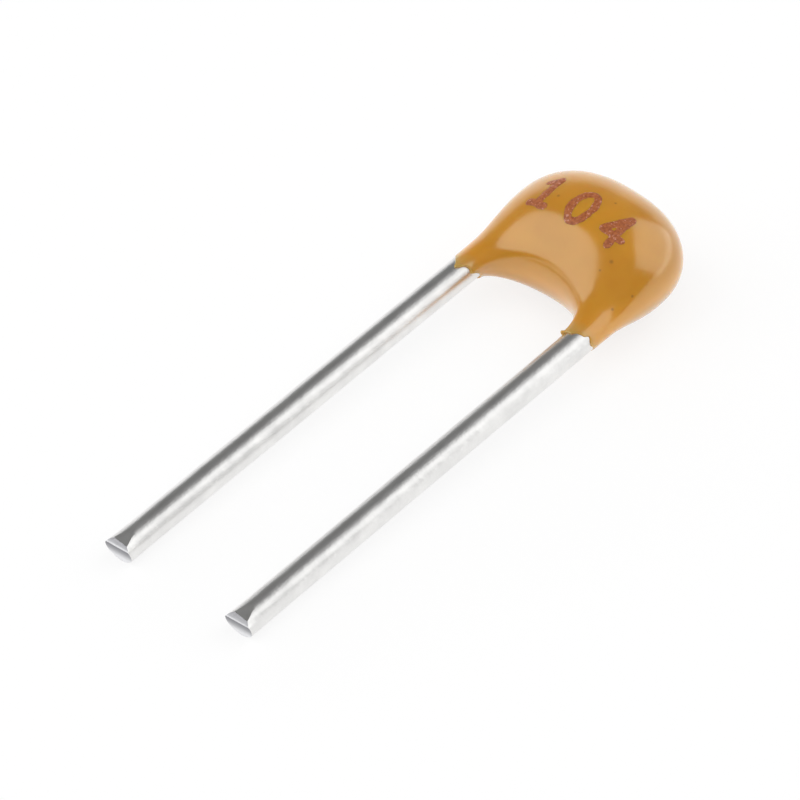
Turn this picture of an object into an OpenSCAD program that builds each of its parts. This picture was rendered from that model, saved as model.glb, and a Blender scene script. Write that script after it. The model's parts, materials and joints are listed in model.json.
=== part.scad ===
// Multilayer ceramic capacitor with two radial leads, dipped in epoxy, at rest on a flat surface.
// All sizes are in millimetres. The pieces are drawn in an upright frame of their own, X across the
// leads, Y from the lead tips to the top of the body, Z through its thickness, with Y = 0 at the line
// where the leads leave the coating. placed() then lays the whole part down on Z = 0.

/* [Leads] */
// Distance between the two lead axes
lead_pitch = 2.54; // [2.2:0.01:3.2]
// Diameter of the lead wire
lead_d = 0.5; // [0.4:0.01:0.6]
// Bare length of the left lead, from the coating's edge to its tip
lead_left_l = 8.13; // [5:0.01:30]
// Bare length of the right lead, from the coating's edge to its tip
lead_right_l = 8.05; // [5:0.01:30]
// Length of the flat that the cutter pressed into the top of each tip
pinch_l = 0.35; // [0.1:0.01:1]
// Depth of that flat at the very end
pinch_depth = 0.08; // [0.02:0.01:0.15]
// Thickness of the flattened upper end of the wire
pad_t = 0.35; // [0.25:0.01:0.45]
// Width of the flattened upper end of the wire
pad_w = 0.56; // [0.5:0.01:0.7]
// How far the flattened end's inner face lies back from the round wire's inner side
pad_inset = 0.03; // [0.01:0.01:0.1]
// How far below the caps the wire is fully flat
pad_below = 0.03; // [0.01:0.01:0.1]
// Length over which the round wire turns flat
flatten_l = 0.4; // [0.4:0.01:0.5]

/* [Chip] */
// Height of the ceramic block, along the leads
chip_h = 1.25; // [0.8:0.01:1.6]
// Thickness of the ceramic block
chip_t = 0.85; // [0.6:0.01:1.25]
// Thickness of the metal caps on the block's ends
cap_t = 0.03; // [0.02:0.005:0.05]
// Length of the caps along the block
cap_band = 0.4; // [0.2:0.01:0.6]
// Number of electrode films that reach each end
film_pairs = 4; // [1:1:6]
// Thickness of an electrode film
film_t = 0.02; // [0.01:0.005:0.03]
// Bare ceramic beside a film
film_side = 0.2; // [0.1:0.01:0.3]
// Bare ceramic between a film and the opposite end
film_end = 0.25; // [0.1:0.01:0.4]

/* [Solder] */
// Solder between a cap and the flattened lead
joint_gap = 0.02; // [0.01:0.005:0.05]
// Leg of the solder fillet beside the flattened lead
solder_leg = 0.13; // [0.05:0.01:0.2]
// Thickness of the solder at the fillet's edges
solder_edge = 0.01; // [0.005:0.005:0.03]
// How far the solder stops short of the block's upper and lower edges
solder_inset = 0.1; // [0.05:0.01:0.3]

/* [Coating] */
// Thickness of the coating's edge around each lead
coat_ring = 0.02; // [0.015:0.005:0.05]
// Length of the straight collar of coating on each lead
collar_l = 0.45; // [0.3:0.01:0.55]
// Coating outside the leads, at the widest place
coat_side = 0.095; // [0.06:0.005:0.3]
// Coating over the caps' broad faces, at the thickest place
coat_face = 0.485; // [0.4:0.005:0.8]
// Coating above the caps' upper edges
coat_top = 0.685; // [0.5:0.005:1]
// Coating between the arch and the caps' lower edges
coat_arch = 0.35; // [0.3:0.01:0.5]
// Height of the arch between the leads
arch_h = 0.58; // [0.5:0.01:0.8]
// How far the thickest line lies above the block's middle
belly_rise = 0.025; // [0:0.005:0.2]
// Exponent of the outline's rounded top, where 2 is an ellipse
fullness = 2.4; // [2:0.05:3]
// Exponent of the flare from the collars to the belly
flare_n = 2.1; // [1:0.05:2.5]

/* [Hidden] */
$fn = 48;
// How far a cutting shape reaches past what it cuts
cut_over = 1;
// Thickness of the end slices of a stretch between two sections
slice_t = 0.01;
// Sections of the coating along each flank and round the top, and steps across each section
flank_steps = 10;
crown_steps = 24;
across_steps = 16;

lead_r = lead_d / 2;
lead_x = lead_pitch / 2;
pad_x = lead_x - lead_r + pad_inset;

// Chip and caps
cap_x = pad_x - joint_gap;
block_x = cap_x - cap_t;
chip_low = arch_h + coat_arch + cap_t;
chip_high = chip_low + chip_h;
pad_start = chip_low - cap_t - pad_below;
flatten_start = pad_start - flatten_l;
cap_half_t = chip_t / 2 + cap_t;
film_step = chip_t / (2 * film_pairs + 1);
solder_low = chip_low + solder_inset;
solder_high = chip_high - solder_inset;
fillet = min(solder_leg, cap_half_t - pad_w / 2 - solder_edge);

// Coating
ring_r = lead_r + coat_ring;
arch_x = lead_x - ring_r;
leg_x = lead_x + ring_r;
half_w = lead_x + lead_r + coat_side;
half_t = cap_half_t + coat_face;
body_h = chip_high + cap_t + coat_top;
belly_y = (chip_low + chip_high) / 2 + belly_rise;
arch_blend = lead_pitch * ring_r;

// How far the coating has flared out at a height: 0 along the collars, 1 from the belly up
function flare_share(y) = min(1, max(0, (y - collar_l) / (belly_y - collar_l)));
function flare(y) = pow(1 - pow(1 - flare_share(y), 2), flare_n);

// How full the coating is at a point of its plan: 0 on the outline, 1 well inside it
function flank_x(y) = leg_x + (half_w - leg_x) * flare(y);
function crown(y) = max(0, (y - belly_y) / (body_h - belly_y));
function outline_fill(x, y) =
    max(0, 1 - pow(abs(x) / flank_x(y), fullness) - pow(crown(y), fullness));
function arch_gap(x, y) = max(0, x * x - arch_x * arch_x * (1 - pow(y / arch_h, 2)));
function arch_fill(x, y) = arch_gap(x, y) / (arch_gap(x, y) + arch_blend);

// Half thickness of the coating: the ring's radius at a lead's exit, half_t at the belly
leg_scale = ring_r / sqrt(outline_fill(lead_x, 0) * arch_fill(lead_x, 0));
belly_scale = half_t / sqrt(arch_fill(0, belly_y));
function swell(y) = leg_scale + (belly_scale - leg_scale) * flare(y);
function half_z(x, y) = swell(y) * sqrt(outline_fill(x, y) * arch_fill(x, y));

// The outline from the left collar's foot over the top to the right one's, and the arch below it
function crown_point(a) = [
    -half_w * sign(cos(a)) * pow(abs(cos(a)), 2 / fullness),
    belly_y + (body_h - belly_y) * pow(abs(sin(a)), 2 / fullness)
];
flank_ys = [for (i = [0:flank_steps - 1]) belly_y * i / flank_steps];
outline = concat(
    [for (i = [0:flank_steps - 1]) [-flank_x(flank_ys[i]), flank_ys[i]]],
    [for (i = [0:crown_steps]) crown_point(180 * i / crown_steps)],
    [for (i = [flank_steps - 1:-1:0]) [flank_x(flank_ys[i]), flank_ys[i]]]
);
last = len(outline) - 1;
function arch_point(i) = [-arch_x * cos(180 * i / last), arch_h * sin(180 * i / last)];

// Points of a section from the arch to the outline, which crowd together at both ends
function eased(j) = (1 - cos(180 * j / across_steps)) / 2;
function section_point(i, j) = arch_point(i) + (outline[i] - arch_point(i)) * eased(j);
function section_z(i, j) =
    j == 0 || j == across_steps ? 0 : let (p = section_point(i, j)) half_z(p[0], p[1]);

// The rest: the belly and the longer lead's tip touch the surface
rest_l = max(lead_left_l, lead_right_l);
belly_angles = [
    for (j = [0:across_steps])
        atan2(section_z(last / 2, j) - lead_r, section_point(last / 2, j)[1] + rest_l)
];
rest_tilt = max(belly_angles);
rest_lift = rest_l * sin(rest_tilt) + lead_r * cos(rest_tilt);
rest_shift = (rest_l - body_h) / 2 * cos(rest_tilt);

LEFT_FILMS = [for (k = [1:film_pairs]) str("electrode_left_", k)];
RIGHT_FILMS = [for (k = [1:film_pairs]) str("electrode_right_", k)];

// Lays the upright part down on its belly and its lead tips
module placed() {
    translate([0, rest_shift, rest_lift]) rotate([rest_tilt, 0, 0]) children();
}

// Mirrors what is drawn on the right-hand side to the left
module on_left() {
    mirror([1, 0, 0]) children();
}

// Lengths of the right-hand lead's round wire and of its flat end, upwards from a height
module wire_piece(y, l) {
    translate([lead_x, y, 0]) rotate([-90, 0, 0]) cylinder(h = l, r = lead_r);
}

module pad_piece(y, l) {
    translate([pad_x, y, -pad_w / 2]) cube([pad_t, l, pad_w]);
}

// A round wire that turns flat towards its upper end, with a flat pinched into the top of its tip
module lead_shape(bare_l) {
    difference() {
        wire_piece(-bare_l, bare_l + flatten_start);
        pinch_shape(bare_l);
    }
    hull() {
        wire_piece(flatten_start, slice_t);
        pad_piece(pad_start - slice_t, slice_t);
    }
    pad_piece(pad_start, solder_high - pad_start);
}

module pinch_shape(bare_l) {
    slope = pinch_depth / pinch_l;
    translate([lead_x - cut_over, 0, 0]) rotate([90, 0, 90]) linear_extrude(2 * cut_over) polygon([
        [-bare_l + pinch_l, lead_r],
        [-bare_l - cut_over, lead_r - pinch_depth - cut_over * slope],
        [-bare_l - cut_over, lead_r + cut_over],
        [-bare_l + pinch_l, lead_r + cut_over]
    ]);
}

// The ceramic block without its film slots
module block_shape() {
    translate([-block_x, chip_low, -chip_t / 2]) cube([2 * block_x, chip_h, chip_t]);
}

// The block's end with the cap on it, as one solid
module cap_shape() {
    translate([cap_x - cap_band, chip_low - cap_t, -cap_half_t])
        cube([cap_band, chip_h + 2 * cap_t, 2 * cap_half_t]);
}

// A film that reaches the right-hand end, at a level of the stack counted from its lower face
module film_shape(level) {
    translate([-block_x + film_end, chip_low + film_side, -chip_t / 2 + level * film_step - film_t / 2])
        cube([2 * block_x - film_end, chip_h - 2 * film_side, film_t]);
}

module right_film(k) {
    film_shape(2 * k);
}

module left_film(k) {
    on_left() film_shape(2 * k - 1);
}

// Solder between the right-hand cap and its lead, with a hollow fillet on each side of the lead
module solder_shape() {
    reach = fillet + solder_edge;
    height = solder_high - solder_low;
    translate([0, solder_high, 0]) rotate([90, 0, 0]) linear_extrude(height) difference() {
        translate([cap_x, -pad_w / 2 - reach]) square([reach, pad_w + 2 * reach]);
        translate([pad_x, -pad_w / 2]) square([pad_t, pad_w]);
        for (side = [-1, 1])
            translate([cap_x + reach, side * (pad_w / 2 + reach)]) circle(r = fillet);
    }
}

// The dipped body, as closed sections from the left collar over the top to the right one
module blob_shape() {
    ring = 2 * across_steps;
    points = [
        for (i = [0:last]) for (k = [0:ring - 1])
            let (up = k <= across_steps, j = up ? k : ring - k, z = section_z(i, j))
            concat(section_point(i, j), up ? z : -z)
    ];
    function corner(i, k) = i * ring + k % ring;
    quads = [
        for (i = [0:last - 1]) for (k = [0:ring - 1])
            [corner(i, k), corner(i, k + 1), corner(i + 1, k + 1), corner(i + 1, k)]
    ];
    left_foot = [for (k = [ring - 1:-1:0]) corner(0, k)];
    right_foot = [for (k = [0:ring - 1]) corner(last, k)];
    polyhedron(points, concat(
        [for (q = quads) each [[q[0], q[1], q[2]], [q[0], q[2], q[3]]]],
        [left_foot, right_foot]
    ));
}

module coating() {
    color([0.75, 0.52, 0.16]) placed() difference() {
        blob_shape();
        block_shape();
        cap_shape();
        on_left() cap_shape();
        solder_shape();
        on_left() solder_shape();
        lead_shape(lead_right_l);
        on_left() lead_shape(lead_left_l);
    }
}

module lead_left() {
    color([0.78, 0.78, 0.8]) placed() on_left() lead_shape(lead_left_l);
}

module lead_right() {
    color([0.78, 0.78, 0.8]) placed() lead_shape(lead_right_l);
}

module ceramic_chip() {
    color([0.8, 0.72, 0.6]) placed() difference() {
        block_shape();
        for (k = [1:film_pairs]) {
            left_film(k);
            right_film(k);
        }
    }
}

module termination_left() {
    color([0.7, 0.7, 0.7]) placed() on_left() difference() {
        cap_shape();
        block_shape();
    }
}

module termination_right() {
    color([0.7, 0.7, 0.7]) placed() difference() {
        cap_shape();
        block_shape();
    }
}

module solder_left() {
    color([0.65, 0.66, 0.68]) placed() on_left() solder_shape();
}

module solder_right() {
    color([0.65, 0.66, 0.68]) placed() solder_shape();
}

module electrode_left(k) {
    color([0.45, 0.42, 0.38]) placed() left_film(k);
}

module electrode_right(k) {
    color([0.45, 0.42, 0.38]) placed() right_film(k);
}

coating();
lead_left();
lead_right();
ceramic_chip();
termination_left();
termination_right();
solder_left();
solder_right();
for (k = [1:film_pairs]) {
    electrode_left(k);
    electrode_right(k);
}
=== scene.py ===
"""Looks of a dipped multilayer ceramic capacitor, lying on a white surface.

Sizes are in millimetres in the part's upright frame: X across the leads, Y from the lead tips to the
top of the body, Z through its thickness, with Y = 0 at the line where the leads leave the coating.
"""
import json
import math

import bmesh
import bpy
import numpy as np
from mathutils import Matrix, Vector, noise


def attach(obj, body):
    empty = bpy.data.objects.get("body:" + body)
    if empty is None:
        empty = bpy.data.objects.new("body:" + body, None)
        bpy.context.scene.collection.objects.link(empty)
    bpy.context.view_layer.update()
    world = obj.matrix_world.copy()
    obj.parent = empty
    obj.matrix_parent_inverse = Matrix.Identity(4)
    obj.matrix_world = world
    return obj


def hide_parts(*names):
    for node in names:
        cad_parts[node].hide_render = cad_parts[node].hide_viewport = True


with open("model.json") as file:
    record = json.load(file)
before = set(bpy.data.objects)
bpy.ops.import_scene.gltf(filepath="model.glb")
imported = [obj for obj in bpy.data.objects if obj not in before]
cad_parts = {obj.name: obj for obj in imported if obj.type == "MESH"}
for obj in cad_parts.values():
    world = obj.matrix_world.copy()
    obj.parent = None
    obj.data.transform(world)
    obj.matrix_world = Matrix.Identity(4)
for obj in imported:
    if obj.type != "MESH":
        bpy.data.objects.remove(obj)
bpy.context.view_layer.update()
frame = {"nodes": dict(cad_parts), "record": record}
nodes = frame["nodes"]
mounts = {mount["name"]: mount for mount in frame["record"]["mounts"]}

MM = 0.001

# Leads
pinch_l = 0.25
pinch_depth = 0.05
pinch_lean = 0.08
pinch_flare = 0.03
lip_l = 0.06
lip_depth = 0.12
pad_t = 0.35
pad_w = 0.56
pad_inset = 0.03
pad_start = 0.9
pad_top = 2.11
pad_round = 0.05
flatten_l = 0.4
flatten_steps = 8
lead_sides = 96
lead_step = 0.05
lead_dent = 0.004
dent_middle = 0.5
lead_sharp_deg = 20
tip_slant = 0.09
tip_out = 0.015
tip_skew = 0.09
cut_tolerance = 1e-6

# Ripples along a lead: share, waves along it, start by its side, waves round it and their twist
lead_waves = [
    (0.35, 2.1, 1.3, 1, -0.7),
    (0.15, 6.7, 0.8, 2, 1.1),
]

# Coating
coat_ring = 0.02
collar_l = 0.45
coat_side = 0.095
half_t = 0.94
body_h = 2.925
belly_y = 1.61
arch_h = 0.58
fullness = 2.4
flare_n = 2.1
coat_sections = 240
coat_points = 96
curve_fineness = 4
coat_wobble = 0.002
least_length = 1e-12

# Slow waves of the coating: share, then factors of x, y, z and the start of a sine and of a cosine
coat_waves = [
    (0.6, (3.1, 1.7, 0.0, 0.6), (0.0, 2.3, -2.9, 1.1)),
    (0.4, (-3.7, 5.3, 0.0, 2.2), (2.6, 0.0, 4.1, 0.0)),
]

# How far the coating's edge runs down each lead, by the angle round it from +X towards +Z
edge_fade = 0.6
edge_round = 0.02
edge_smooth_deg = 13
left_edge = [
    (-150, -0.05), (-100, -0.1), (-35, -0.15), (-2, -0.08), (15, 0.01), (22, 0.085), (28, 0.1),
    (36, 0.08), (50, 0.085), (62, 0.12), (70, 0.2), (80, 0.26), (88, 0.25), (98, 0.16), (112, 0.1),
    (130, 0.02), (144, -0.05),
]
right_edge = [
    (-150, 0.1), (-100, 0.0), (-35, -0.06), (-3, -0.01), (9, 0.035), (25, 0.025), (40, -0.008),
    (48, -0.004), (54, 0.064), (70, 0.088), (84, 0.113), (99, 0.177), (108, 0.19), (122, 0.18),
    (130, 0.24), (138, 0.25), (148, 0.1),
]

# Rounding of that edge: shares of the coating's thickness, of the rounding's length and of the wire
shoulder_in = 0.25
shoulder_down = 0.7
foot_in = 1.05
core_share = 0.7

# A burr on the right lead's edge, at an angle as above
burr_angle = 134
burr_reach = 0.23
burr_h = 0.05
burr_r = 0.035

# Looks of the coating: painted light round the middle of its thickness, a painted sheen at its rims,
# thin film on the leads and specks
painted_light_start = 0.02
painted_light_end = 0.34
painted_light_share = 0.7
painted_sheen_power = 4.0
painted_sheen_share = 0.85
thin_below = 0.25
thin_above = 0.1
thin_share = 0.7
speck_core = 0.3
speck_share = 0.5

# Specks in the coating: place on the upper side and radius
specks = [(-0.583, 1.585, 0.037), (0.269, 2.034, 0.031), (0.945, 1.143, 0.046), (0.875, 0.936, 0.029),
          (1.474, 1.04, 0.034), (1.397, 0.635, 0.034)]

# Printed digits
digits = "104"
digit_pitch = 0.738
digit_middle = (-0.084, 1.622)
digit_h = 0.78
digit_w = 0.5
stroke_w = 0.14
ink_t = 0.005
ink_sink = 0.004
ink_step = 0.009
ink_ragged = 0.22
ink_lumps = 10
ink_lump_level = 0.5
ink_grains = 40
ink_grain_level = 2.5
ink_grain_share = 0.5
ink_least_slope = 0.3
ink_least_corners = 2
round_digit_steps = 41

# Looks of the sheared wire ends: heights between which their painted shading changes, and the grain's
# share
end_shade_low = 0.1
end_shade_high = 0.44
end_grain_share = 0.3
end_blue = 0.02

# Grey levels of the painted shading on those ends, with a painted highlight band near the lip, from the
# lip, at 0, to the lowest point, at 1
end_painted_shading = [(0.0, 0.48), (0.1, 0.58), (0.14, 0.85), (0.18, 0.85), (0.2, 0.2), (0.55, 0.42), (1.0, 0.95)]

# Colours
amber_deep = (0.54, 0.228, 0.008)
amber = (0.595, 0.26, 0.011)
amber_painted_light = (0.8, 0.37, 0.045)
painted_sheen_cream = (0.98, 0.84, 0.68)
film_olive = (0.43, 0.31, 0.11)
speck_brown = (0.16, 0.06, 0.01)
tin_dull = (0.79, 0.785, 0.775)
tin_bright = (0.89, 0.885, 0.87)
end_grey = (0.4, 0.4, 0.41)
ink_dark = (0.27, 0.068, 0.02)
ink_light = (0.42, 0.128, 0.042)
ink_painted_glint = (0.6, 0.29, 0.21)
ceramic_dark = (0.52, 0.43, 0.32)
ceramic_light = (0.64, 0.54, 0.42)

# Camera, fitted to the leads in the photograph
picture_px = 800
view_azimuth = 42.4144
view_elevation = 43.4322
view_distance = 100.0
view_scale = 61.7659
view_target = (-0.3032, -0.0457, 0.3)
sensor_mm = 36
clip_near = 0.01
clip_far = 20

# Lamps, by their angle from +X towards +Y and their height in degrees, with sizes in metres
lamp_distance = 1.6
left_softbox = {
    "azimuth": -131, "elevation": 36, "width": 1.9, "height": 1.8, "radiance": 1.35, "shape": "ELLIPSE",
}
back_softbox = {"azimuth": 58.8, "elevation": 33, "width": 1.85, "height": 1.83, "radiance": 1.15}
overhead_fill = {"azimuth": -50, "elevation": 70, "width": 2.0, "height": 2.0, "radiance": 1.38}
low_back_fill = {"azimuth": 150, "elevation": 8, "width": 2.2, "height": 0.7, "radiance": 2.4}
world_light = 0.17

# Floor and its low wall, in metres
floor_r = 3.0
floor_bend = 0.4
floor_bend_steps = 9
floor_wall_h = 1.12
floor_back = 110
floor_fade = 0.3
floor_sides = 96
floor_white = 0.97
floor_glow = 0.8

# The upright frame, from the two lead mounts
left_pin = mounts["lead_left_pin"]
right_pin = mounts["lead_right_pin"]
lead_r = left_pin["dims"]["r_mm"]
lead_left_l = left_pin["dims"]["length_mm"]
lead_right_l = right_pin["dims"]["length_mm"]
left_tip = np.array(left_pin["pos_m"]) / MM
right_tip = np.array(right_pin["pos_m"]) / MM
lead_x = (right_tip[0] - left_tip[0]) / 2
axis_x = np.array([1.0, 0.0, 0.0])
axis_y = -np.array(left_pin["axis"]) / np.linalg.norm(left_pin["axis"])
axis_z = np.cross(axis_x, axis_y)
origin = left_tip + lead_left_l * axis_y + lead_x * axis_x

ring_r = lead_r + coat_ring
arch_x = lead_x - ring_r
leg_x = lead_x + ring_r
half_w = lead_x + lead_r + coat_side
arch_blend = 2 * lead_x * ring_r
flatten_start = pad_start - flatten_l


def place(points):
    """Points of the upright frame, in millimetres, as points of the part's frame, in metres."""
    points = np.asarray(points, float)
    turned = points[..., :1] * axis_x + points[..., 1:2] * axis_y + points[..., 2:] * axis_z
    return (origin + turned) * MM


def add_object(name, mesh):
    thing = bpy.data.objects.new(name, mesh)
    bpy.context.scene.collection.objects.link(thing)
    return thing


def add_mesh(name, points, faces):
    """A smooth-shaded mesh object."""
    mesh = bpy.data.meshes.new(name)
    mesh.from_pydata(np.asarray(points).reshape(-1, 3).tolist(), [], faces)
    mesh.validate()
    mesh.polygons.foreach_set("use_smooth", [True] * len(mesh.polygons))
    return add_object(name, mesh)


def tube_faces(rings, sides):
    """Faces of a tube of closed rings, with a cap on each end."""
    quads = []
    for i in range(rings - 1):
        low = i * sides
        high = low + sides
        for k in range(sides):
            after = (k + 1) % sides
            quads.append((low + k, low + after, high + after, high + k))
    first_cap = tuple(range(sides - 1, -1, -1))
    last_cap = tuple((rings - 1) * sides + k for k in range(sides))
    return quads + [first_cap, last_cap]


# Coating: the same formulas as the solid's
def flare(y):
    """How far the coating has flared out at a height: 0 along the collars, 1 from the belly up."""
    share = np.clip((y - collar_l) / (belly_y - collar_l), 0, 1)
    return (1 - (1 - share) ** 2) ** flare_n


def flank_x(y):
    return leg_x + (half_w - leg_x) * flare(y)


def outline_fill(x, y):
    crown = np.maximum(0, (y - belly_y) / (body_h - belly_y))
    return np.maximum(0, 1 - (np.abs(x) / flank_x(y)) ** fullness - crown ** fullness)


def arch_fill(x, y):
    gap = np.maximum(0, x * x - arch_x ** 2 * (1 - (y / arch_h) ** 2))
    return gap / (gap + arch_blend)


leg_scale = ring_r / np.sqrt(outline_fill(lead_x, 0.0) * arch_fill(lead_x, 0.0))
belly_scale = half_t / np.sqrt(arch_fill(0.0, belly_y))


def half_z(x, y):
    """Half thickness of the coating at a point of its plan."""
    swell = leg_scale + (belly_scale - leg_scale) * flare(y)
    return swell * np.sqrt(outline_fill(x, y) * arch_fill(x, y))


def even_steps(curve, count):
    """Points at even distances along a fine polyline."""
    run = np.r_[0, np.cumsum(np.linalg.norm(np.diff(curve, axis=0), axis=1))]
    at = np.linspace(0, run[-1], count)
    return np.c_[np.interp(at, run, curve[:, 0]), np.interp(at, run, curve[:, 1])]


def arch_curve(count):
    turn = np.linspace(np.pi, 0, curve_fineness * count)
    return even_steps(np.c_[arch_x * np.cos(turn), arch_h * np.sin(turn)], count)


def outline_curve(count):
    """The outline from the left lead's outer side over the top to the right lead's."""
    rise = np.linspace(0, belly_y, count)
    flank = np.c_[-flank_x(rise), rise]
    turn = np.linspace(np.pi, np.pi / 2, curve_fineness * count)[1:]
    power = 2 / fullness
    crown_x = -half_w * np.abs(np.cos(turn)) ** power
    crown_y = belly_y + (body_h - belly_y) * np.abs(np.sin(turn)) ** power
    half = np.r_[flank, np.c_[crown_x, crown_y]]
    other = half[-2::-1] * np.array([-1, 1])
    return even_steps(np.r_[half, other], count)


def edge_line(pairs, angle):
    """The coating's edge at angles round a lead, as a smooth closed line through the given pairs."""
    at = np.array([p[0] for p in pairs], float)
    reach = np.array([p[1] for p in pairs], float)
    fine = np.arange(-180, 180)
    stepped = np.interp(fine, at, reach, period=360)
    window = np.hanning(edge_smooth_deg)
    side = edge_smooth_deg // 2
    wrapped = np.r_[stepped[-side:], stepped, stepped[:side]]
    smooth = np.convolve(wrapped, window / window.sum(), mode="valid")
    return np.interp(np.degrees(angle), fine, smooth, period=360)


def wobble(points):
    """Slow waves of the dipped surface: how far it lies in, between about -1 and 1."""
    total = np.zeros(points.shape[:-1])
    for share, sine, cosine in coat_waves:
        first = points @ np.array(sine[:3]) + sine[3]
        second = points @ np.array(cosine[:3]) + cosine[3]
        total += share * np.sin(first) * np.cos(second)
    return total


def coating_rings():
    inner = arch_curve(coat_sections)
    outer = outline_curve(coat_sections)
    share = (1 - np.cos(np.pi * np.linspace(0, 1, coat_points))) / 2
    plan = inner[:, None] + (outer - inner)[:, None] * share[None, :, None]
    x, y = plan[..., 0], plan[..., 1]
    z = half_z(x, y)
    z[:, 0] = 0
    z[:, -1] = 0
    upper = np.stack([x, y, z], -1)
    lower = np.stack([x, y, -z], -1)[:, -2:0:-1]
    return np.concatenate([upper, lower], 1)


def shift_edge(rings):
    """Moves the ends of both legs to the ragged line where the coating stops on the leads."""
    x, y, z = rings[..., 0], rings[..., 1], rings[..., 2]
    fade = np.clip(1 - y / edge_fade, 0, 1) ** 2
    left = edge_line(left_edge, np.arctan2(z, x + lead_x))
    right = edge_line(right_edge, np.arctan2(z, x - lead_x))
    rings[..., 1] -= fade * np.where(x < 0, left, right)


def raise_burr(rings):
    """Pulls a small burr out of the edge on the right lead."""
    turn = math.radians(burr_angle)
    out = np.array([math.cos(turn), 0, math.sin(turn)])
    middle = np.array([lead_x, -burr_reach, 0]) + ring_r * out
    gap = np.linalg.norm(rings - middle, axis=-1, keepdims=True)
    rings += burr_h * out * np.exp(-(gap / burr_r) ** 2)


def swollen(rings):
    """The rings with slow waves along their normals, which die out at the legs."""
    along = np.gradient(rings, axis=0)
    around = np.roll(rings, -1, 1) - np.roll(rings, 1, 1)
    normal = np.cross(along, around)
    size = np.linalg.norm(normal, axis=-1, keepdims=True)
    normal = normal / np.maximum(size, least_length)
    fade = np.clip(rings[..., 1] / belly_y, 0, 1)
    return rings - normal * (coat_wobble * wobble(rings) * fade)[..., None]


def edge_rings(ring, side):
    """Rings that round the coating's edge off onto a lead and end inside the wire."""
    centre = np.array([side * lead_x, 0, 0])
    angle = np.arctan2(ring[:, 2], ring[:, 0] - centre[0])
    wire = np.c_[centre[0] + lead_r * np.cos(angle), ring[:, 1], lead_r * np.sin(angle)]
    up = np.array([0, 1, 0])
    shoulder = ring + (wire - ring) * shoulder_in - up * shoulder_down * edge_round
    foot = ring + (wire - ring) * foot_in - up * edge_round
    inside = centre + (foot - centre) * np.array([core_share, 1, core_share])
    return [shoulder, foot, inside]


def make_coating():
    rings = swollen(coating_rings())
    shift_edge(rings)
    raise_burr(rings)
    left = edge_rings(rings[0], -1)[::-1]
    right = edge_rings(rings[-1], 1)
    rings = np.array(left + list(rings) + right)[::-1]
    faces = tube_faces(len(rings), rings.shape[1])
    return add_mesh("dipped_coating", place(rings), faces)


# Leads
def lead_turn():
    return 2 * np.pi * np.arange(lead_sides) / lead_sides + np.pi / 2


def round_ring():
    return lead_r * np.c_[np.cos(lead_turn()), np.sin(lead_turn())]


def pad_ring(inner_sign):
    """The flattened upper end's section, a rectangle with rounded corners."""
    c, s = np.cos(lead_turn()), np.sin(lead_turn())
    core = np.array([pad_t / 2 - pad_round, pad_w / 2 - pad_round])
    box = np.maximum(np.abs(c) / core[0], np.abs(s) / core[1])
    middle = inner_sign * (lead_r - pad_inset - pad_t / 2)
    return np.c_[c / box + pad_round * c + middle, s / box + pad_round * s]


def lead_sections(side, bare_l):
    """Sections of one lead from its tip to the top of its flattened end, and their heights."""
    heights = list(np.arange(-bare_l, flatten_start, lead_step))
    sections = [round_ring()] * len(heights)
    pad = pad_ring(-side)
    for share in np.linspace(0, 1, flatten_steps):
        heights.append(flatten_start + share * flatten_l)
        sections.append(round_ring() * (1 - share) + pad * share)
    heights.append(pad_top)
    sections.append(pad)
    return np.array(sections), np.array(heights)


def dents(side, section, y):
    """How far the drawn wire's skin lies in, from 0 to 1, with slow ripples along it."""
    angle = np.arctan2(section[..., 1], section[..., 0])
    total = np.full(angle.shape, dent_middle)
    for share, along, start, around, twist in lead_waves:
        swing = np.sin(along * y + start * side)[:, None]
        total += share * swing * np.cos(around * angle + twist * y[:, None])
    return total


def shave(work, middle_x, start, start_z, tip, tip_z, lean=0):
    """Cuts off what lies above a plane that falls towards a tip and may lean to the right."""
    whole = work.verts[:] + work.edges[:] + work.faces[:]
    upright = (lean * (start - tip), tip_z - start_z, start - tip)
    cut = bmesh.ops.bisect_plane(
        work, geom=whole, dist=cut_tolerance,
        plane_co=(middle_x, start, start_z), plane_no=upright, clear_outer=True)
    rim = [item for item in cut["geom_cut"] if isinstance(item, bmesh.types.BMEdge)]
    return bmesh.ops.edgeloop_fill(work, edges=rim)["faces"]


def pinch_tip(work, side, tip):
    """Cuts the flat and the steeper lip into a tip's top and turns the cut end out of square."""
    lip_z = lead_r - pinch_depth * (1 - lip_l / pinch_l)
    middle_x = side * lead_x
    shave(work, middle_x, tip + pinch_l, lead_r, tip, lead_r - pinch_depth, pinch_lean)
    lip = shave(work, middle_x, tip + lip_l, lip_z, tip, lead_r - lip_depth)
    end = min(work.faces, key=lambda face: face.calc_center_median().y)
    for face in (*lip, end):
        face.material_index = 1
    for vert in work.verts:
        near = max(0, 1 - (vert.co.y - tip) / pinch_l)
        high = vert.co.z / (lead_r - pinch_depth)
        spread = 1 + pinch_flare / lead_r * max(0, min(1, high)) * near ** 2
        across = vert.co.x - middle_x
        vert.co.x = middle_x + across * spread
        vert.co.y += (tip_skew * across - tip_out - tip_slant * max(0, min(1, (1 + high) / 2))) * near


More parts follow.
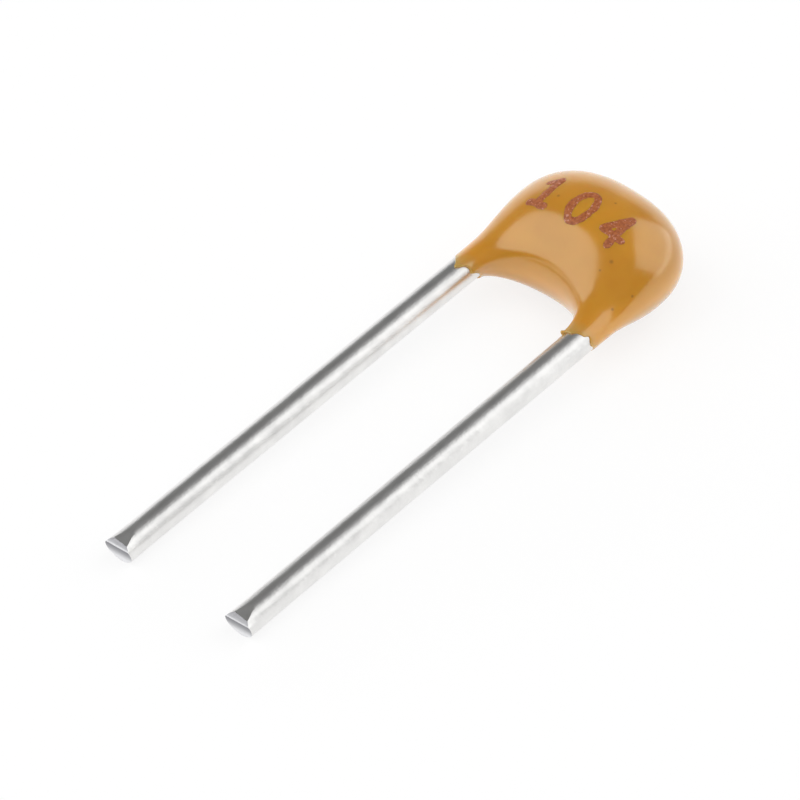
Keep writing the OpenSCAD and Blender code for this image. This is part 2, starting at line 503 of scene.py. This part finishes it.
def make_lead(name, side, bare_l):
    section, y = lead_sections(side, bare_l)
    from_tip = np.clip((y + bare_l - pinch_l) / pinch_l, 0, 1)
    from_pad = np.clip((flatten_start - y) / pinch_l, 0, 1)
    dent = lead_dent / lead_r * dents(side, section, y) * (from_tip * from_pad)[:, None]
    section = section * (1 - dent)[..., None]
    height = np.repeat(y[:, None], lead_sides, 1)
    points = np.stack([section[..., 0] + side * lead_x, height, section[..., 1]], -1)

    work = bmesh.new()
    corners = [work.verts.new(point) for point in points.reshape(-1, 3)]
    for face in tube_faces(len(points), lead_sides):
        work.faces.new([corners[k] for k in face])
    pinch_tip(work, side, -bare_l)
    bmesh.ops.recalc_face_normals(work, faces=work.faces)
    work.normal_update()
    for edge in work.edges:
        edge.smooth = edge.calc_face_angle(0) < math.radians(lead_sharp_deg)
    for face in work.faces:
        face.smooth = True
    mesh = bpy.data.meshes.new(name)
    work.to_mesh(mesh)
    work.free()
    placed = place([vertex.co for vertex in mesh.vertices])
    mesh.vertices.foreach_set("co", placed.ravel())
    mesh.update()
    return add_object(name, mesh)


# Printed digits
def digit_strokes(digit):
    """The middle lines of a digit's strokes, in a box from -1 to 1 both ways."""
    turn = np.linspace(0, 2 * np.pi, round_digit_steps)
    if digit == "0":
        return [np.c_[np.cos(turn), np.sin(turn)]]
    if digit == "1":
        return [np.array([(-0.7, 0.55), (0.05, 1), (0.05, -1)]), np.array([(-0.75, -1), (0.85, -1)])]
    return [np.array([(0.35, -1), (0.35, 1), (-1, -0.4), (1, -0.4)])]


def stroke_gap(points, strokes):
    """Distance of each point from the nearest stroke."""
    best = np.full(points.shape[:-1], np.inf)
    for line in strokes:
        for a, b in zip(line[:-1], line[1:]):
            along = b - a
            share = np.clip(((points - a) @ along) / (along @ along), 0, 1)
            best = np.minimum(best, np.linalg.norm(points - (a + share[..., None] * along), axis=-1))
    return best


def ragged(points):
    """Uneven edge of the print at each point of its plan, between about -1 and 1."""
    rough = []
    for x, y in points.reshape(-1, 2):
        lumps = noise.noise(Vector((ink_lumps * x, ink_lumps * y, ink_lump_level)))
        grain = noise.noise(Vector((ink_grains * x, ink_grains * y, ink_grain_level)))
        rough.append(lumps + ink_grain_share * grain)
    return np.array(rough).reshape(points.shape[:-1])


def surface(x, y):
    """Points of the coating's upper surface and its normals there."""
    step = 0.001
    slope_x = (half_z(x + step, y) - half_z(x - step, y)) / (2 * step)
    slope_y = (half_z(x, y + step) - half_z(x, y - step)) / (2 * step)
    normal = np.stack([-slope_x, -slope_y, np.ones_like(x)], -1)
    normal /= np.linalg.norm(normal, axis=-1, keepdims=True)
    points = np.stack([x, y, half_z(x, y)], -1)
    fade = np.clip(y / belly_y, 0, 1)
    return points - normal * (coat_wobble * wobble(points) * fade)[..., None], normal


def digit_sheet(digit, middle):
    """Corners and cells of one digit's print, a grid of cells whose rim lies on the stroke's edge."""
    margin = stroke_w
    half_box = np.array([digit_w - stroke_w, digit_h - stroke_w]) / 2
    strokes = [middle + line * half_box for line in digit_strokes(digit)]
    xs = np.arange(middle[0] - digit_w / 2 - margin, middle[0] + digit_w / 2 + margin, ink_step)
    ys = np.arange(middle[1] - digit_h / 2 - margin, middle[1] + digit_h / 2 + margin, ink_step)
    plan = np.stack(np.meshgrid(xs, ys), -1)
    half = stroke_w / 2 * (1 + ink_ragged * ragged(plan))
    gap = stroke_gap(plan, strokes) - half
    rise_y, rise_x = np.gradient(gap, ink_step)
    inked = gap < 0
    cells = []
    for i in range(len(ys) - 1):
        for j in range(len(xs) - 1):
            if inked[i:i + 2, j:j + 2].sum() >= ink_least_corners:
                cells.append((i, j))
    steep = np.maximum(np.hypot(rise_x, rise_y), ink_least_slope)
    pull = np.where(gap > 0, gap / steep ** 2, 0)
    plan = plan - pull[..., None] * np.stack([rise_x, rise_y], -1)
    depth = np.clip(-gap / half, 0, 1)
    dome = np.sqrt(1 - (1 - depth) ** 2)
    return plan, dome, cells


def make_digits():
    points, faces = [], []
    for k, digit in enumerate(digits):
        middle = np.array(digit_middle) + np.array([(k - (len(digits) - 1) / 2) * digit_pitch, 0])
        plan, dome, cells = digit_sheet(digit, middle)
        base, normal = surface(plan[..., 0], plan[..., 1])
        top = base + normal * (ink_t * dome)[..., None]
        bottom = base - normal * ink_sink
        used = {}

        def corner(i, j, layer):
            if (i, j, layer) not in used:
                used[i, j, layer] = len(points)
                points.append((top if layer else bottom)[i, j])
            return used[i, j, layer]

        inside = set(cells)
        for i, j in cells:
            square = [(i, j), (i, j + 1), (i + 1, j + 1), (i + 1, j)]
            faces.append([corner(*c, 1) for c in square])
            faces.append([corner(*c, 0) for c in square[::-1]])
            beyond = [(i - 1, j), (i, j + 1), (i + 1, j), (i, j - 1)]
            for n, neighbour in enumerate(beyond):
                if neighbour not in inside:
                    a, b = square[n], square[(n + 1) % 4]
                    faces.append([corner(*a, 1), corner(*a, 0), corner(*b, 0), corner(*b, 1)])
    return add_mesh("printed_digits", place(np.array(points)), faces)


# Materials
class Shader:
    """A node material round one Principled shader, with short calls for its textures."""

    def __init__(self, name):
        self.material = bpy.data.materials.new(name)
        self.material.use_nodes = True
        self.tree = self.material.node_tree
        self.base = self.tree.nodes["Principled BSDF"]
        self.place = self.add("ShaderNodeTexCoord").outputs["Object"]

    def add(self, kind, links=None, **values):
        node = self.tree.nodes.new(kind)
        for key, value in values.items():
            if key in node.inputs:
                node.inputs[key].default_value = value
            else:
                setattr(node, key, value)
        for key, source in (links or {}).items():
            self.tree.links.new(source, node.inputs[key])
        return node

    def set(self, **values):
        for key, value in values.items():
            self.base.inputs[key.replace("_", " ")].default_value = value

    def link(self, source, socket):
        self.tree.links.new(source, self.base.inputs[socket])

    def stretched(self, scale):
        return self.add("ShaderNodeMapping", {"Vector": self.place}, Scale=scale).outputs["Vector"]

    def noise(self, size_mm, detail=2.0, vector=None):
        """Noise whose features are about size_mm across, from 0 to 1."""
        links = {"Vector": vector or self.place}
        node = self.add("ShaderNodeTexNoise", links, Scale=1 / (size_mm * MM), Detail=detail)
        return node.outputs["Fac"]

    def math(self, operation, first, second):
        """One sum of two sockets or numbers."""
        node = self.add("ShaderNodeMath", operation=operation)
        for index, source in enumerate((first, second)):
            if isinstance(source, (int, float)):
                node.inputs[index].default_value = source
            else:
                self.tree.links.new(source, node.inputs[index])
        return node.outputs[0]

    def fall(self, source, start, end):
        """1 up to the start, 0 from the end on, and even in between."""
        node = self.add("ShaderNodeMapRange", {"Value": source})
        for key, value in (("From Min", start), ("From Max", end), ("To Min", 1.0), ("To Max", 0.0)):
            node.inputs[key].default_value = value
        return node.outputs["Result"]

    def along(self, axis):
        """One coordinate of the part's frame, in metres."""
        return self.add("ShaderNodeSeparateXYZ", {"Vector": self.place}).outputs[axis]

    def spot(self, centre, radius_mm):
        """1 in the middle of a round spot, 0 from its rim on."""
        node = self.add("ShaderNodeVectorMath", {0: self.place}, operation="DISTANCE")
        node.inputs[1].default_value = centre
        return self.fall(node.outputs["Value"], speck_core * radius_mm * MM, radius_mm * MM)

    def ramp(self, source, stops):
        node = self.add("ShaderNodeValToRGB", {"Fac": source})
        band = node.color_ramp
        while len(band.elements) < len(stops):
            band.elements.new(0.5)
        for element, (at, colour) in zip(band.elements, stops):
            element.position = at
            element.color = (*colour, 1) if isinstance(colour, tuple) else (colour, colour, colour, 1)
        return node.outputs["Color"]

    def mix(self, share, first, second):
        node = self.add("ShaderNodeMix", data_type="RGBA")
        for index, source in ((0, share), (6, first), (7, second)):
            if isinstance(source, tuple):
                node.inputs[index].default_value = (*source, 1)
            else:
                self.tree.links.new(source, node.inputs[index])
        return node.outputs[2]

    def bump(self, source, height_mm, normal=None):
        links = {"Height": source}
        if normal is not None:
            links["Normal"] = normal
        node = self.add("ShaderNodeBump", links, Distance=height_mm * MM, Strength=1.0)
        return node.outputs["Normal"]


def epoxy_material():
    s = Shader("golden_epoxy")
    mottle = s.noise(size_mm=0.9, detail=3)
    tone = s.ramp(mottle, [(0.35, amber_deep), (0.65, amber)])
    height = s.add("ShaderNodeVectorMath", {0: s.place}, operation="DOT_PRODUCT")
    height.inputs[1].default_value = axis_z
    above_middle = s.math("SUBTRACT", height.outputs["Value"], origin @ axis_z * MM)
    off_middle = s.math("ABSOLUTE", above_middle, 0.0)
    # Painted light: a paler amber round the middle of the coating's thickness, on its sides and under
    # the arch
    painted_light = s.math("MULTIPLY", s.fall(off_middle, painted_light_start * MM, painted_light_end * MM), painted_light_share)
    tone = s.mix(painted_light, tone, amber_painted_light)
    # Painted sheen: a pale cream mixed into the colour towards the rims, where the surface turns away
    # from the view
    facing = s.add("ShaderNodeLayerWeight", Blend=0.5).outputs["Facing"]
    painted_sheen = s.math("POWER", facing, painted_sheen_power)
    tone = s.mix(s.math("MULTIPLY", painted_sheen, painted_sheen_share), tone, painted_sheen_cream)
    foot = origin[1]
    thin = s.fall(s.along("Y"), (foot - thin_below) * MM, (foot + thin_above) * MM)
    tone = s.mix(s.math("MULTIPLY", thin, thin_share), tone, film_olive)
    dirt = None
    for x, y, radius in specks:
        spot = s.spot(tuple(place((x, y, half_z(x, y)))), radius)
        dirt = spot if dirt is None else s.math("MAXIMUM", dirt, spot)
    s.link(s.mix(s.math("MULTIPLY", dirt, speck_share), tone, speck_brown), "Base Color")
    haze = s.noise(size_mm=0.5, detail=2)
    s.link(s.ramp(haze, [(0.3, 0.17), (0.7, 0.21)]), "Roughness")
    s.set(IOR=2.0, Specular_Tint=(1, 0.99, 0.82, 1))
    s.set(Subsurface_Weight=0.5, Subsurface_Scale=0.3 * MM, Subsurface_Radius=(1, 0.5, 0.15))
    ripple = s.noise(size_mm=0.25, detail=1)
    s.link(s.bump(ripple, height_mm=0.0012), "Normal")
    return s.material


def wire_material():
    s = Shader("tinned_wire")
    lengthwise = s.stretched((1, 0.03, 1))
    streak = s.noise(size_mm=0.03, detail=3, vector=lengthwise)
    patch = s.noise(size_mm=0.35, detail=3)
    s.link(s.ramp(patch, [(0.3, tin_dull), (0.7, tin_bright)]), "Base Color")
    s.link(s.ramp(streak, [(0.3, 0.29), (0.75, 0.37)]), "Roughness")
    s.set(Metallic=1.0)
    hollows = s.bump(patch, height_mm=0.006)
    skin = s.bump(s.noise(size_mm=0.05, detail=2), height_mm=0.0014, normal=hollows)
    s.link(s.bump(streak, height_mm=0.0012, normal=skin), "Normal")
    return s.material


def cut_material():
    """The sheared end of a wire, with painted shading by height: painted light below, painted shade
    above and a painted highlight along the lip.
    """
    s = Shader("sheared_wire_end")
    grain = s.noise(size_mm=0.04, detail=3)
    # Painted shading by height: a highlight band near the lip, shade below it, and lighter towards the
    # lowest point
    low = s.fall(s.along("Z"), end_shade_low * MM, end_shade_high * MM)
    tone = s.ramp(low, [(at, (grey, grey, grey + end_blue)) for at, grey in end_painted_shading])
    s.link(s.mix(s.math("MULTIPLY", grain, end_grain_share), tone, end_grey), "Base Color")
    s.set(Metallic=1.0, Roughness=0.45)
    s.link(s.bump(grain, height_mm=0.004), "Normal")
    return s.material


def ink_material():
    s = Shader("brown_ink")
    grain = s.noise(size_mm=0.045, detail=3)
    body = s.ramp(grain, [(0.35, ink_dark), (0.62, ink_light)])
    # Painted glints: pale pink spots mixed into the ink's colour
    painted_glint = s.ramp(s.noise(size_mm=0.05, detail=2), [(0.6, 0.0), (0.68, 1.0)])
    s.link(s.mix(painted_glint, body, ink_painted_glint), "Base Color")
    s.set(Roughness=0.38, IOR=1.45)
    s.link(s.bump(grain, height_mm=0.006), "Normal")
    return s.material


def ceramic_material():
    s = Shader("fired_ceramic")
    grain = s.noise(size_mm=0.06, detail=4)
    s.link(s.ramp(grain, [(0.35, ceramic_dark), (0.65, ceramic_light)]), "Base Color")
    s.link(s.ramp(grain, [(0.3, 0.55), (0.7, 0.75)]), "Roughness")
    s.link(s.bump(grain, height_mm=0.003), "Normal")
    return s.material


def metal_material(name, dark, light, smooth, rough, size_mm, height_mm):
    """A plain metal with patches between two colours and two roughnesses."""
    s = Shader(name)
    patch = s.noise(size_mm, detail=4)
    s.link(s.ramp(patch, [(0.3, dark), (0.7, light)]), "Base Color")
    s.link(s.ramp(patch, [(0.3, smooth), (0.7, rough)]), "Roughness")
    s.set(Metallic=1.0)
    s.link(s.bump(patch, height_mm), "Normal")
    return s.material


def dress(thing, *materials):
    if thing.data.materials:
        thing.data.materials.clear()
    for material in materials:
        thing.data.materials.append(material)


# The object
coating = make_coating()
leads = {
    "lead_left": make_lead("lead_wire_left", -1, lead_left_l),
    "lead_right": make_lead("lead_wire_right", 1, lead_right_l),
}
print_piece = make_digits()

dress(coating, epoxy_material())
dress(print_piece, ink_material())
wire = wire_material()
wire_end = cut_material()
for lead in leads.values():
    dress(lead, wire, wire_end)

ceramic = ceramic_material()
cap_metal = metal_material(
    "fired_cap_metal", dark=(0.52, 0.52, 0.53), light=(0.66, 0.66, 0.66),
    smooth=0.35, rough=0.5, size_mm=0.05, height_mm=0.003)
solder = metal_material(
    "solder", dark=(0.5, 0.51, 0.53), light=(0.62, 0.63, 0.65),
    smooth=0.2, rough=0.35, size_mm=0.12, height_mm=0.004)
film_metal = metal_material(
    "film_metal", dark=(0.3, 0.28, 0.26), light=(0.4, 0.37, 0.34),
    smooth=0.4, rough=0.55, size_mm=0.04, height_mm=0.001)
inner_finish = {"ceramic": ceramic, "termination": cap_metal, "solder": solder, "electrode": film_metal}
for name, node in nodes.items():
    finish = inner_finish.get(name.split("_")[0])
    if finish:
        dress(node, finish)

for piece in (coating, print_piece, *leads.values()):
    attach(piece, "root")
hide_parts("coating")
for name, lead in leads.items():
    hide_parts(name)


# Stage
def floor_material():
    """White paper that faintly shows the part's shadow to the camera and in reflections."""
    s = Shader("white_floor")
    s.set(Base_Color=(floor_white, floor_white, floor_white, 1), Roughness=0.9, Specular_IOR_Level=0.0)
    rays = s.add("ShaderNodeLightPath").outputs
    seen = s.math("MAXIMUM", rays["Is Camera Ray"], rays["Is Glossy Ray"])
    seen = s.math("MAXIMUM", seen, rays["Is Transmission Ray"])
    seen = s.math("MULTIPLY", seen, s.fall(s.along("Z"), floor_fade, floor_wall_h))
    glow = s.add("ShaderNodeEmission", Strength=1.0)
    share = s.math("MULTIPLY", seen, floor_glow)
    shaders = {0: share, 1: s.base.outputs["BSDF"], 2: glow.outputs["Emission"]}
    both = s.add("ShaderNodeMixShader", shaders)
    s.tree.links.new(both.outputs["Shader"], s.tree.nodes["Material Output"].inputs["Surface"])
    return s.material


def make_floor():
    """A round floor that curves up into a low wall, highest at the back."""
    flat_r = floor_r - floor_bend
    turn = np.linspace(0, np.pi / 2, floor_bend_steps)
    radius = np.r_[flat_r + floor_bend * np.sin(turn), floor_r][:, None]
    height = np.r_[floor_bend * (1 - np.cos(turn)), floor_wall_h][:, None]
    angle = 2 * np.pi * np.arange(floor_sides) / floor_sides
    rise = (1 + np.cos(angle - math.radians(floor_back))) / 2
    rings = np.stack([radius * np.cos(angle), radius * np.sin(angle), height * rise], -1)
    floor = add_mesh("floor", rings, tube_faces(len(rings), floor_sides)[:-1])
    dress(floor, floor_material())


def direction(azimuth, elevation):
    """A direction by its angle from +X towards +Y and its height, in degrees."""
    a, e = math.radians(azimuth), math.radians(elevation)
    return Vector((math.cos(a) * math.cos(e), math.sin(a) * math.cos(e), math.sin(e)))


def add_softbox(name, azimuth, elevation, width, height, radiance, shape="RECTANGLE", mirrored=True):
    """An area lamp of the given brightness that faces the part and may show in its gloss."""
    lamp = bpy.data.lights.new(name, "AREA")
    lamp.shape = shape
    lamp.size = width
    lamp.size_y = height
    fill_share = math.pi / 4 if shape == "ELLIPSE" else 1
    lamp.energy = radiance * math.pi * width * height * fill_share
    thing = add_object(name, lamp)
    toward = direction(azimuth, elevation)
    thing.location = toward * lamp_distance
    thing.rotation_mode = "QUATERNION"
    thing.rotation_quaternion = (-toward).to_track_quat("-Z", "Y")
    thing.visible_camera = False
    thing.visible_glossy = mirrored


def make_world():
    world = bpy.data.worlds.new("dim_studio")
    world.use_nodes = True
    room = world.node_tree.nodes["Background"]
    room.inputs["Color"].default_value = (1, 1, 1, 1)
    room.inputs["Strength"].default_value = world_light
    bpy.context.scene.world = world


def make_camera():
    a, e = math.radians(view_azimuth), math.radians(view_elevation)
    forward = Vector((-math.sin(a) * math.cos(e), math.cos(a) * math.cos(e), -math.sin(e)))
    camera = bpy.data.cameras.new("camera")
    camera.sensor_width = sensor_mm
    camera.lens = sensor_mm * view_distance * view_scale / picture_px
    camera.clip_start = clip_near
    camera.clip_end = clip_far
    thing = add_object("camera", camera)
    thing.location = (Vector(view_target) - forward * view_distance) * MM
    thing.rotation_mode = "QUATERNION"
    thing.rotation_quaternion = forward.to_track_quat("-Z", "Y")
    bpy.context.scene.camera = thing


make_floor()
add_softbox("left_softbox", **left_softbox)
add_softbox("back_softbox", **back_softbox)
add_softbox("overhead_fill", **overhead_fill, mirrored=False)
add_softbox("low_back_fill", **low_back_fill, mirrored=False)
make_world()
make_camera()
bpy.context.scene.view_settings.view_transform = "Standard"
